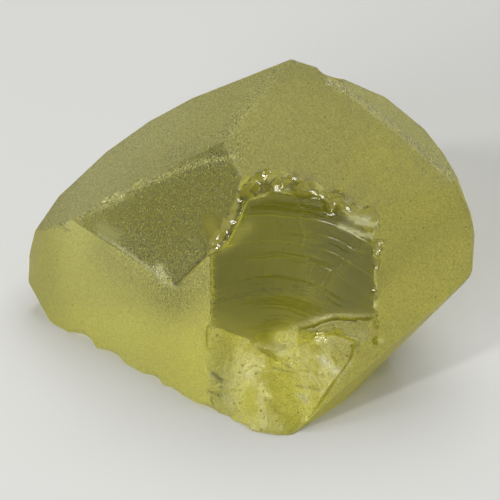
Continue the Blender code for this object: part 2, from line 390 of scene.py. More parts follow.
# %% [markdown]
# ## The tool that breaks quartz
#
# Quartz has no cleavage. It breaks in smooth shells with ripples, like the rings that a stone makes
# in water, and where the blow landed it crushes into small tilted facets. Both are floors over the
# same plane, so one tree makes them: it smooths a coarse floor, adds ripples round the blow, tilts
# every cell of a Voronoi pattern its own way, and thickens the floor upwards into a solid block.
#
# Ripples could be drawn as rings of faces instead, but rings can't fade, cross a facet or drift.
#
# The block also needs the outline of the break. A second cut could trim it, but a cut along hundreds
# of short edges is slow and may fail. Here the outline hangs over the floor as a flat drawing, and
# a face stays only where a ray straight up from it meets the drawing.

# %% Ripples and facets on a floor
BLOCK_TOP = 30.0
UPWARDS = (0.0, 0.0, 1.0)
FINER = 3
DRIFT_BLOTS = 5.0
DRIFT = 0.25
SHELLS_GROW = (2.0, 16.0)
FINE_RIPPLE_BLOTS = 3.0
FINE_RIPPLES_SHOW = (-0.3, 0.5)
FACET_STRETCH = 1.7
FACET_STEP = 0.35


def breaking_tool(material):
    dials = {"Outline": "object", "Blow": "vector", "Drop": "float", "Ripple gap": "float",
             "Ripple height": "float", "Fine gap": "float", "Fine height": "float", "Facet size": "float",
             "Facet tilt": "float", "Seed": "float"}
    nodes, given = new_tool("breaking tool", dials)
    fine = nodes.add("GeometryNodeSubdivisionSurface", {}, {0: given["Mesh"], "Level": FINER})[0]
    where = nodes.add("GeometryNodeInputPosition")[0]
    x, y, _ = nodes.parts(where)
    flat = nodes.add("ShaderNodeCombineXYZ", {}, {"X": x, "Y": y})[0]
    drawn = nodes.add("GeometryNodeObjectInfo", {}, {"Object": given["Outline"]})["Geometry"]
    below_it = nodes.add("GeometryNodeRaycast", {}, {
        "Target Geometry": drawn, "Source Position": flat, "Ray Direction": UPWARDS,
        "Ray Length": 2 * BLOCK_TOP})["Is Hit"]
    kept = nodes.add("GeometryNodeDeleteGeometry", {"domain": "FACE"}, {
        0: fine, "Selection": 1.0 - below_it})[0]
    drift = nodes.noise(flat, DRIFT_BLOTS, detail=1.0)
    reach = nodes.vector("DISTANCE", flat, given["Blow"]) + drift * DRIFT
    grown = reach.between(*SHELLS_GROW)
    broad = (reach * math.tau / given["Ripple gap"]).maths("SINE")
    shown = nodes.noise(flat, FINE_RIPPLE_BLOTS).between(*FINE_RIPPLES_SHOW)
    narrow = (reach * math.tau / given["Fine gap"]).maths("SINE") * shown
    shells = (broad * given["Ripple height"] + narrow * given["Fine height"]) * grown
    scaled = nodes.vector("DIVIDE", flat, nodes.add("ShaderNodeCombineXYZ", {}, {
        "X": given["Facet size"] * FACET_STRETCH, "Y": given["Facet size"],
        "Z": given["Facet size"]})[0])
    shifted = nodes.vector("ADD", scaled, given["Seed"])
    cells = nodes.add("ShaderNodeTexVoronoi", {"voronoi_dimensions": "2D"}, {
        "Vector": shifted, "Scale": 1.0})
    lean = nodes.vector("SUBTRACT", cells["Color"], (0.5, 0.5, 0.5))
    off = nodes.vector("SUBTRACT", shifted, cells["Position"])
    tilt_x, tilt_y, step = nodes.parts(lean)
    off_x, off_y, _ = nodes.parts(off)
    facets = (tilt_x * off_x + tilt_y * off_y + step * FACET_STEP) * given["Facet tilt"]
    lift = shells + facets - given["Drop"]
    offset = nodes.add("ShaderNodeCombineXYZ", {}, {"Z": lift})[0]
    floor = nodes.add("GeometryNodeSetPosition", {}, {0: kept, "Offset": offset})[0]
    pulled = nodes.add("GeometryNodeExtrudeMesh", {}, {
        0: floor, "Offset": UPWARDS, "Offset Scale": BLOCK_TOP, "Individual": False})[0]
    under = nodes.add("GeometryNodeFlipFaces", {}, {0: floor})[0]
    both = nodes.add("GeometryNodeJoinGeometry", {}, {0: [pulled, under]})[0]
    block = nodes.add("GeometryNodeMergeByDistance", {}, {0: both, "Distance": ONE_CORNER})[0]
    return close_tool(nodes, block, material)


# %% [markdown]
# The scar's floor is a small loft: a few stations up the scar, each with the height at the left
# edge, the middle and the right edge. They are the same stations as in the solid, so the fine cut
# lies just below the coarse one everywhere, by the `Drop` dial. The outline is drawn with few
# corners and then wavers as a broken edge does. The noise for that starts from a new place in every
# run unless it is given a seed, so it gets one first.

# %% Floors and outlines
SCAR_FLOOR = (
    (-16.0, -9.0, -4.4, -4.6),
    (-12.0, -7.6, -4.4, -4.0),
    (-8.0, -5.7, -4.7, -2.5),
    (-4.0, -3.7, -4.6, -2.8),
    (0.0, -1.8, -3.4, -1.2),
    (4.0, 0.1, -1.9, 0.5),
    (8.0, 2.0, -0.2, 1.9),
    (12.0, 3.0, 1.2, 2.4),
)
COARSE = 1.0
WIDE_WAVE = 1.1
NARROW_WAVE = 0.35
EDGE_SEED = 5
SCAR_HALF_WIDTH = 8.0
SCAR_BOWED = 1.4
BLOW = (-2.2, -11.0, 0.0)
SCAR_OUTLINE = (
    (-7.6, 4.0), (-6.9, 4.6), (-6.1, 4.9), (-5.0, 7.0), (-4.1, 9.1), (-1.6, 9.9), (1.8, 9.7),
    (4.2, 8.8), (5.4, 7.8), (7.3, 6.2), (8.0, 5.0), (8.15, 1.5), (8.1, -2.4), (4.4, -2.4),
    (0.9, -3.5), (0.5, -5.5), (0.0, -7.4), (-2.0, -6.1), (-4.0, -5.0), (-6.0, -4.2), (-7.8, -3.5),
)


def floor_height(x, y):
    """How high the scar's smooth floor lies over a point of its frame."""
    y = max(SCAR_FLOOR[0][0], min(SCAR_FLOOR[-1][0], y))
    across = max(-SCAR_BOWED, min(SCAR_BOWED, x / SCAR_HALF_WIDTH))
    stations = [station[0] for station in SCAR_FLOOR]
    left, middle, right = (np.interp(y, stations, [s[k] for s in SCAR_FLOOR]) for k in (1, 2, 3))
    return middle + (right - left) / 2 * across + ((left + right) / 2 - middle) * across**2


def floor_sheet(name, height, low, high, step):
    """A coarse sheet of squares whose height is a function of x and y."""
    xs = np.arange(low[0], high[0] + step / 2, step)
    ys = np.arange(low[1], high[1] + step / 2, step)
    points = [(x, y, height(x, y)) for y in ys for x in xs]
    wide = len(xs)
    faces = [(j * wide + i, j * wide + i + 1, (j + 1) * wide + i + 1, (j + 1) * wide + i)
             for j in range(len(ys) - 1) for i in range(wide - 1)]
    return new_object(name, points, faces)


def uneven(outline, step=0.3, wide=0.12, narrow=0.05):
    """An outline that wavers as a broken edge does, in wide and narrow waves."""
    noise.seed_set(EDGE_SEED)
    points = []
    for (ax, ay), (bx, by) in zip(outline, outline[1:] + outline[:1]):
        count = max(1, round(math.hypot(bx - ax, by - ay) / step))
        for k in range(count):
            spot = Vector((ax + (bx - ax) * k / count, ay + (by - ay) * k / count, 0.0))
            shift = noise.noise_vector(spot / WIDE_WAVE) * wide
            shift += noise.noise_vector(spot / NARROW_WAVE) * narrow
            points.append((spot.x + shift.x, spot.y + shift.y))
    return points


def mould(name, height, low, high, outline, dials):
    """A block whose under side is a broken floor and whose plan is the outline."""
    drawn = new_object("outline", [(x, y, BLOCK_TOP) for x, y in outline], [range(len(outline))])
    made = worked(floor_sheet(name, height, low, high, COARSE), breaking, {"Outline": drawn, **dials})
    remove(drawn)
    return made


# %% The scar's mould
skin_material = bpy.data.materials.new("lemon quartz skin")
breaking = breaking_tool(skin_material)
scar_mould = mould("scar mould", floor_height, (-10.0, -12.0), (11.0, 13.0), uneven(SCAR_OUTLINE), {
    "Blow": BLOW, "Drop": 0.2, "Ripple gap": 2.3, "Ripple height": 0.024,
    "Fine gap": 0.62, "Fine height": 0.02, "Facet size": 1.0, "Facet tilt": 0.0})
print("scar mould:", len(scar_mould.data.polygons), "faces")

# %% [markdown]
# The toe is where the blow crushed the stone into small tilted facets. Its coarse floor could be
# written down as the scar's is, but it has no rule to follow. So it is read from the solid, as the
# mean height of the solid's own crushed floor round each point, and the tool adds facets and faint
# ripples. Away from its left and lower edges it is cut a little deeper, so that none of the solid's
# coarse floor is left.

# %% The toe's mould
TOE_OUTLINE = (
    (-8.3, -3.0), (-6.0, -3.8), (-4.0, -4.5), (-2.0, -5.5), (0.2, -6.0), (1.2, -4.1), (4.4, -4.0),
    (6.5, -4.7), (5.8, -7.0), (3.8, -9.6), (1.6, -13.0), (0.0, -16.0), (-4.5, -16.0), (-7.4, -12.0),
    (-8.6, -8.8),
)
TOE_ACROSS = (-9.0, 7.0)
TOE_ALONG = (-16.0, -3.0)
TOE_BLUR = 1.2
TOE_DEEPER = 0.3
TOE_THINS = (-14.0, -11.0)
TOE_FADES = (-8.4, -6.0)


def inside(outline, x, y):
    """Whether a point lies in an outline, by counting the sides it is left of."""
    crossings = 0
    for (ax, ay), (bx, by) in zip(outline, outline[1:] + outline[:1]):
        if (ay > y) != (by > y) and x < ax + (y - ay) / (by - ay) * (bx - ax):
            crossings += 1
    return crossings % 2 == 1


def toe_levels(step=0.5, margin=0.4):
    """Points of the solid's toe: x, y and height."""
    found = []
    for x in np.arange(*TOE_ACROSS, step):
        for y in np.arange(*TOE_ALONG, step):
            hit = seat(x, y)
            corners = ((x - margin, y), (x + margin, y), (x, y - margin), (x, y + margin))
            if hit is not None and all(inside(TOE_OUTLINE, *corner) for corner in corners):
                found.append(tuple(hit))
    return np.array(found)


TOE_LEVELS = toe_levels()


def toe_height(x, y):
    """How high the toe's smooth floor lies over a point of the scar's frame."""
    away = np.hypot(TOE_LEVELS[:, 0] - x, TOE_LEVELS[:, 1] - y)
    weight = np.exp(-(((away - away.min()) / TOE_BLUR) ** 2))
    deeper = TOE_DEEPER * np.interp(y, TOE_THINS, (0.0, 1.0)) * np.interp(x, TOE_FADES, (0.0, 1.0))
    return float((TOE_LEVELS[:, 2] * weight).sum() / weight.sum() - deeper)


toe_mould = mould("toe mould", toe_height, (-11.0, -18.0), (9.0, -1.0), TOE_OUTLINE, {
    "Blow": BLOW, "Drop": 0.0, "Ripple gap": 1.3, "Ripple height": 0.03,
    "Fine gap": 0.5, "Fine height": 0.0, "Facet size": 1.2, "Facet tilt": 0.3, "Seed": 3.0})
print("toe mould:", len(toe_mould.data.polygons), "faces")

# %% [markdown]
# ## Chips
#
# Edges of glassy stone lose small shells all along. Each is a shallow scoop, and where scoops
# overlap they leave sharp little crests that catch the light. They could be drawn by a bump in the
# material, but bump gives no crests against the light. So a chip tool scatters uneven balls over a
# strip that is laid on the edge, each ball sunk a little way into the stone, to be cut out of it.

# %% Balls scattered over a strip
BALL_ROUNDS = 4
BALL_BLOTS = 0.7
BALL_BUMPS = 0.22


def chip_tool(material):
    dials = {"Per area": "float", "Smallest": "vector", "Largest": "vector", "Above": "float",
             "Turn": "vector", "Sway": "vector", "Seed": "int"}
    nodes, given = new_tool("chip tool", dials)
    spots = nodes.add("GeometryNodeDistributePointsOnFaces", {}, {
        "Mesh": given["Mesh"], "Density": given["Per area"], "Seed": given["Seed"]})["Points"]
    ball = nodes.add("GeometryNodeMeshIcoSphere", {}, {"Radius": 1.0, "Subdivisions": BALL_ROUNDS})["Mesh"]
    where = nodes.add("GeometryNodeInputPosition")[0]
    bumps = nodes.vector("MULTIPLY", where, nodes.add("ShaderNodeCombineXYZ", {}, {
        name: nodes.noise(where, BALL_BLOTS, detail=2.0) * BALL_BUMPS for name in "XYZ"})[0])
    ball = nodes.add("GeometryNodeSetPosition", {}, {0: ball, "Offset": bumps})[0]
    turn = nodes.add("FunctionNodeRandomValue", {"data_type": "FLOAT_VECTOR"}, {
        "Min": nodes.vector("SUBTRACT", given["Turn"], given["Sway"]),
        "Max": nodes.vector("ADD", given["Turn"], given["Sway"]), "Seed": given["Seed"]})["Value"]
    size = nodes.add("FunctionNodeRandomValue", {"data_type": "FLOAT_VECTOR"}, {
        "Min": given["Smallest"], "Max": given["Largest"], "Seed": given["Seed"] + 1.0})["Value"]
    balls = nodes.add("GeometryNodeInstanceOnPoints", {}, {
        "Points": spots, "Instance": ball, "Rotation": turn, "Scale": size})[0]
    lift = nodes.add("ShaderNodeCombineXYZ", {}, {"Z": given["Above"]})[0]
    lifted = nodes.add("GeometryNodeTranslateInstances", {}, {
        0: balls, "Translation": lift, "Local Space": False})[0]
    return close_tool(nodes, lifted, material)


chipping = chip_tool(skin_material)
print("chip tool:", len(chipping.nodes), "nodes")

# %% [markdown]
# The strips follow the edges in the scar's frame, and each is dropped onto the blank from above.
# Most balls are turned at random. At the scar's corner and at the flake's tip they are longer and
# lie nearly one way, so that their scoops throw the light of the lamp to the same side, as glints.

# %% The edges that are chipped
STRIP_STEP = 0.5


def strip(name, path, width):
    """A narrow strip along a path of the scar's frame, laid on the blank."""
    points, faces = [], []
    for (ax, ay), (bx, by) in zip(path, path[1:]):
        steps = max(1, round(math.hypot(bx - ax, by - ay) / STRIP_STEP))
        side = Vector((ay - by, bx - ax)).normalized() * width / 2
        for k in range(steps + 1):
            x, y = ax + (bx - ax) * k / steps, ay + (by - ay) * k / steps
            for sign in (-1, 1):
                spot = Vector((x + sign * side.x, y + sign * side.y, 0.0))
                points.append(seat(spot.x, spot.y) or skin.find_nearest(spot)[0])
            if k:
                n = len(points)
                faces.append((n - 4, n - 3, n - 1, n - 2))
    return new_object(name, points, faces)


ANY_TURN = {"Turn": (0.0, 0.0, math.pi), "Sway": (0.3, 0.3, math.pi)}
TO_THE_LAMP = {"Turn": (-0.08, -0.33, 0.0), "Sway": (0.07, 0.13, 0.12)}
# Path, width of the strip, then the dials
CHIP_RUNS = {
    "scar rim": (((-4.3, 9.6), (-2.6, 10.5), (-0.1, 10.5), (2.0, 9.8), (4.0, 8.8), (5.6, 7.9)), 1.2, {
        "Per area": 1.5, "Smallest": (0.6, 0.5, 0.22), "Largest": (1.8, 1.3, 0.5), "Above": 0.1,
        **ANY_TURN, "Seed": 4}),
    "scar corner": (((5.6, 8.2), (6.6, 7.4), (7.6, 6.4)), 1.9, {
        "Per area": 4.5, "Smallest": (0.8, 0.28, 0.16), "Largest": (1.5, 0.55, 0.24), "Above": 0.0,
        **TO_THE_LAMP, "Seed": 9}),
    "left step": (((-7.9, 4.6), (-6.9, 5.4), (-5.9, 7.2), (-5.0, 9.4)), 0.9, {
        "Per area": 2.2, "Smallest": (0.3, 0.5, 0.25), "Largest": (0.9, 1.3, 0.5), "Above": 0.1,
        **ANY_TURN, "Seed": 2}),
    "right side": (((8.2, 5.4), (8.2, 2.0), (8.2, -2.2), (8.6, -4.6)), 0.5, {
        "Per area": 1.8, "Smallest": (0.2, 0.3, 0.15), "Largest": (0.5, 0.9, 0.35), "Above": 0.1,
        **ANY_TURN, "Seed": 6}),
    "scar foot": (((-7.8, -3.6), (-5.0, -4.6), (-2.2, -6.0), (0.0, -7.2), (0.8, -4.4), (4.4, -4.2),
                   (6.4, -4.9)), 0.7, {
        "Per area": 2.0, "Smallest": (0.3, 0.16, 0.12), "Largest": (1.2, 0.45, 0.35), "Above": 0.08,
        **ANY_TURN, "Seed": 3}),
    "left ridge": (((-23.2, 7.2), (-19.0, 9.0), (-15.0, 10.9), (-9.0, 13.0), (-5.0, 13.4)), 0.4, {
        "Per area": 1.3, "Smallest": (0.2, 0.1, 0.12), "Largest": (0.8, 0.25, 0.22), "Above": 0.06,
        **ANY_TURN, "Seed": 5}),
    "flake edge": (((-19.8, 6.2), (-17.0, 4.6), (-14.0, 2.4), (-11.6, 0.8), (-9.4, 2.7),
                    (-7.9, 4.2)), 0.3, {
        "Per area": 2.4, "Smallest": (0.2, 0.1, 0.1), "Largest": (0.6, 0.22, 0.2), "Above": 0.05,
        **ANY_TURN, "Seed": 8}),
    "flake tip": (((-13.3, 2.5), (-12.4, 1.3)), 1.0, {
        "Per area": 11.0, "Smallest": (0.2, 0.14, 0.1), "Largest": (0.5, 0.3, 0.18), "Above": 0.0,
        **TO_THE_LAMP, "Seed": 11}),
    "peak and bevel": (((-1.0, 23.4), (1.4, 22.6), (4.0, 21.6), (8.0, 18.6), (13.0, 14.6),
                        (16.6, 10.9)), 0.4, {
        "Per area": 1.3, "Smallest": (0.2, 0.1, 0.1), "Largest": (0.7, 0.25, 0.2), "Above": 0.06,
        **ANY_TURN, "Seed": 7}),
}
chip_sets = [worked(strip(name, path, width), chipping, dials)
             for name, (path, width, dials) in CHIP_RUNS.items()]
print("chips:", {balls.name: len(balls.data.polygons) for balls in chip_sets})

# %% [markdown]
# ## The cuts
#
# A break takes stone away, so each mould is subtracted from the blank. The Manifold solver needs
# closed shapes, which all of these are. The other solvers accept more kinds of shapes, but they lose
# the stone altogether in some of these cuts.

# %% Cut the scar and the toe
def cut(thing, other):
    """Take one solid out of another."""
    bpy.context.view_layer.update()
    step = thing.modifiers.new("cut", "BOOLEAN")
    step.operation = "DIFFERENCE"
    step.solver = "MANIFOLD"
    step.object = other
    return plain_mesh(thing)


for block in (scar_mould, toe_mould):
    cut(stone, block)
    print("after", block.name, len(stone.data.polygons), "faces")

# %% [markdown]
# The balls of the chips lie across one another, and a solver that needs closed shapes can't take
# them so. A voxel remesh makes one closed skin round all of them. The chips of glassy edges are
# kept apart from those of old, worn edges, because the finish asks later which ones are clear.

# %% Scoop out the chips
UNION_VOXEL = 0.09
EASE = 0.5
EASE_ROUNDS = 3
GLASSY = ("scar rim", "scar corner", "left step", "right side", "scar foot", "flake tip")


def remeshed(thing, voxel):
    """The object with an even mesh, eased a little to take away the steps of the voxels."""
    step = thing.modifiers.new("remesh", "REMESH")
    step.mode = "VOXEL"
    step.voxel_size = voxel
    ease = thing.modifiers.new("ease", "SMOOTH")
    ease.factor = EASE
    ease.iterations = EASE_ROUNDS
    return plain_mesh(thing)


def joined(name, *things):
    """One object with the meshes of several."""
    shape = bmesh.new()
    for thing in things:
        shape.from_mesh(thing.data)
    made = new_object(name, [], [])
    shape.to_mesh(made.data)
    shape.free()
    remove(*things)
    return made


glassy = joined("glassy chips", *[balls for balls in chip_sets if balls.name in GLASSY])
worn = joined("worn chips", *[balls for balls in bpy.data.objects if balls.name in CHIP_RUNS])
for balls in (glassy, worn):
    cut(stone, remeshed(balls, UNION_VOXEL))
    print("after", balls.name, len(stone.data.polygons), "faces")
remove(worn)

# %% [markdown]
# ## The fine surface
#
# After the cuts the stone is a mix of huge and tiny triangles, which no wear can be pressed into. A
# voxel remesh makes them all alike. Where scoops meet they can cut a crumb loose, which would hang
# in the air beside the stone, so only the largest part is kept.

# %% An even mesh without crumbs
VOXEL = 0.15


def largest_part(thing):
    """Take away the crumbs that the chips cut loose."""
    shape = bmesh.new()
    shape.from_mesh(thing.data)
    left, parts = set(shape.verts), []
    while left:
        front = [left.pop()]
        part = list(front)
        while front:
            corner = front.pop()
            near = {edge.other_vert(corner) for edge in corner.link_edges} & left
            left -= near
            front.extend(near)
            part.extend(near)
        parts.append(part)
    parts.sort(key=len)
    bmesh.ops.delete(shape, geom=[corner for part in parts[:-1] for corner in part], context="VERTS")
    shape.to_mesh(thing.data)
    shape.free()
    print("crumbs taken away:", len(parts) - 1)


remeshed(stone, VOXEL)
print("remeshed:", len(stone.data.polygons), "faces")
largest_part(stone)

# %% [markdown]
# Old faces are never quite flat: they have shallow waves and pits. The skin tool presses both in,
# never out, so the stone stays inside the solid's box, and it leaves the breaks alone. It also
# stores at each point what the finish needs: the look of the nearest old face, whether the point
# lies on a break, and how far and at which angle it lies from the blow. A Decimate then takes away
# the triangles that the flat places don't need.

# %% Wear the skin
ON_THE_BREAK = (0.06, 0.2)
WAVE_BLOTS = 6.0
PIT_EDGE = (0.0, 0.22)
PITS_SHOW = (0.0, 0.4)


def skin_tool(material):
    dials = {"Old faces": "object", "Scar": "object", "Toe": "object", "Chips": "object",
             "Wave": "float", "Pit depth": "float"}
    nodes, given = new_tool("skin tool", dials)
    where = nodes.add("GeometryNodeInputPosition")[0]
    normal = nodes.add("GeometryNodeInputNormal")[0]
    old = nodes.add("GeometryNodeObjectInfo", {}, {"Object": given["Old faces"]})["Geometry"]
    kept = {}
    for name, kind in (("tint", "FLOAT_COLOR"), ("grain", "FLOAT"), ("clear", "FLOAT")):
        own = nodes.add("GeometryNodeInputNamedAttribute", {"data_type": kind}, {"Name": name})["Attribute"]
        kept[name] = nodes.add("GeometryNodeSampleNearestSurface", {"data_type": kind}, {
            "Mesh": old, "Value": own})["Value"]
    for name in ("scar", "toe", "chips"):
        block = nodes.add("GeometryNodeObjectInfo", {}, {"Object": given[name.capitalize()]})["Geometry"]
        away = nodes.add("GeometryNodeProximity", {}, {0: block})["Distance"]
        kept[name] = 1.0 - away.between(*ON_THE_BREAK)
    fresh = kept["scar"].maths("MAXIMUM", kept["toe"]).maths("MAXIMUM", kept["chips"])
    wave = nodes.noise(where, WAVE_BLOTS) * 0.5 + 0.5
    cells = nodes.add("ShaderNodeTexVoronoi", {}, {"Vector": where, "Scale": 1.1, "Randomness": 1.0})
    pit = 1.0 - cells["Distance"].between(*PIT_EDGE)
    pit = pit * nodes.noise(where, 3.0).between(*PITS_SHOW)
    press = (wave * given["Wave"] + pit * given["Pit depth"]) * (1.0 - fresh)
    offset = nodes.add("ShaderNodeVectorMath", {"operation": "SCALE"}, {
        0: normal, "Scale": press * -1.0})["Vector"]
    x, y, _ = nodes.parts(where)
    across, along = x - BLOW[0], y - BLOW[1]
    drift = nodes.noise(where, 4.0, detail=1.0) * 0.35 + nodes.noise(where, 1.2, detail=1.0) * 0.05
    kept["reach"] = (across ** 2.0 + along ** 2.0).maths("SQRT") + drift
    kept["angle"] = across.maths("ARCTAN2", along)
    shape = nodes.add("GeometryNodeSetPosition", {}, {0: given["Mesh"], "Offset": offset})[0]
    for name, value in kept.items():
        kind = "FLOAT_COLOR" if name == "tint" else "FLOAT"
        shape = nodes.add("GeometryNodeStoreNamedAttribute", {"data_type": kind, "domain": "POINT"}, {
            0: shape, "Name": name, "Value": value})[0]
    return close_tool(nodes, shape, material)


worked(stone, skin_tool(skin_material), {
    "Old faces": old_faces, "Scar": scar_mould, "Toe": toe_mould, "Chips": glassy,
    "Wave": 0.06, "Pit depth": 0.1})

# %% Thin it out
MOST_TRIANGLES = 190000


def thinned(thing, most):
    thing.data.calc_loop_triangles()
    step = thing.modifiers.new("thin", "DECIMATE")
    step.ratio = min(1.0, most / len(thing.data.loop_triangles))
    return plain_mesh(thing)


thinned(stone, MOST_TRIANGLES)
remove(scar_mould, toe_mould, glassy, old_faces)
print("thinned:", len(stone.data.polygons), "faces")

# %% [markdown]
# ## Looks that belong to no face
#
# A fresh break gets a colour of its own. The scar is glassy, and its dark colour is painted shade for
# the dark that is seen through the clear glass; its chips are paler, and the crushed part of the toe
# is palest, partly from the white of crushed quartz and partly as a painted glow. Other marks follow
# no face at all: painted shadows under the flake and in the steps beside it, painted highlights and
# glints, painted light on the left end, painted shade inside the scar, the crushed grain beside the
# scar, the frayed line of a ridge. An image could hold them, but it would have to be unwrapped and
# would blur. Here they are strokes on the finished skin, each a path in the scar's frame that lets
# the colour, the grain and the clearness rise or fall towards its middle.

# %% Strokes on the skin
# Painted shade: the scar's dark colour stands for the dark seen through its clear glass.
SCAR_SHADE = (0.168, 0.170, 0.0)
CHIPPED = (0.46, 0.44, 0.14)
# The crushed toe's pale yellow is partly the white of crushed quartz and partly a painted glow of the light
# gathered in the toe.
CRUSHED_AND_GLOWING = (0.68, 0.66, 0.14)
WHITE = (1.0, 1.0, 0.95)
PALE = (0.96, 0.95, 0.62)
YELLOW = (0.95, 0.92, 0.26)
OLIVE = (0.50, 0.48, 0.08)
AMBER = (0.42, 0.37, 0.03)
DARK = (0.0, 0.0, 0.0)
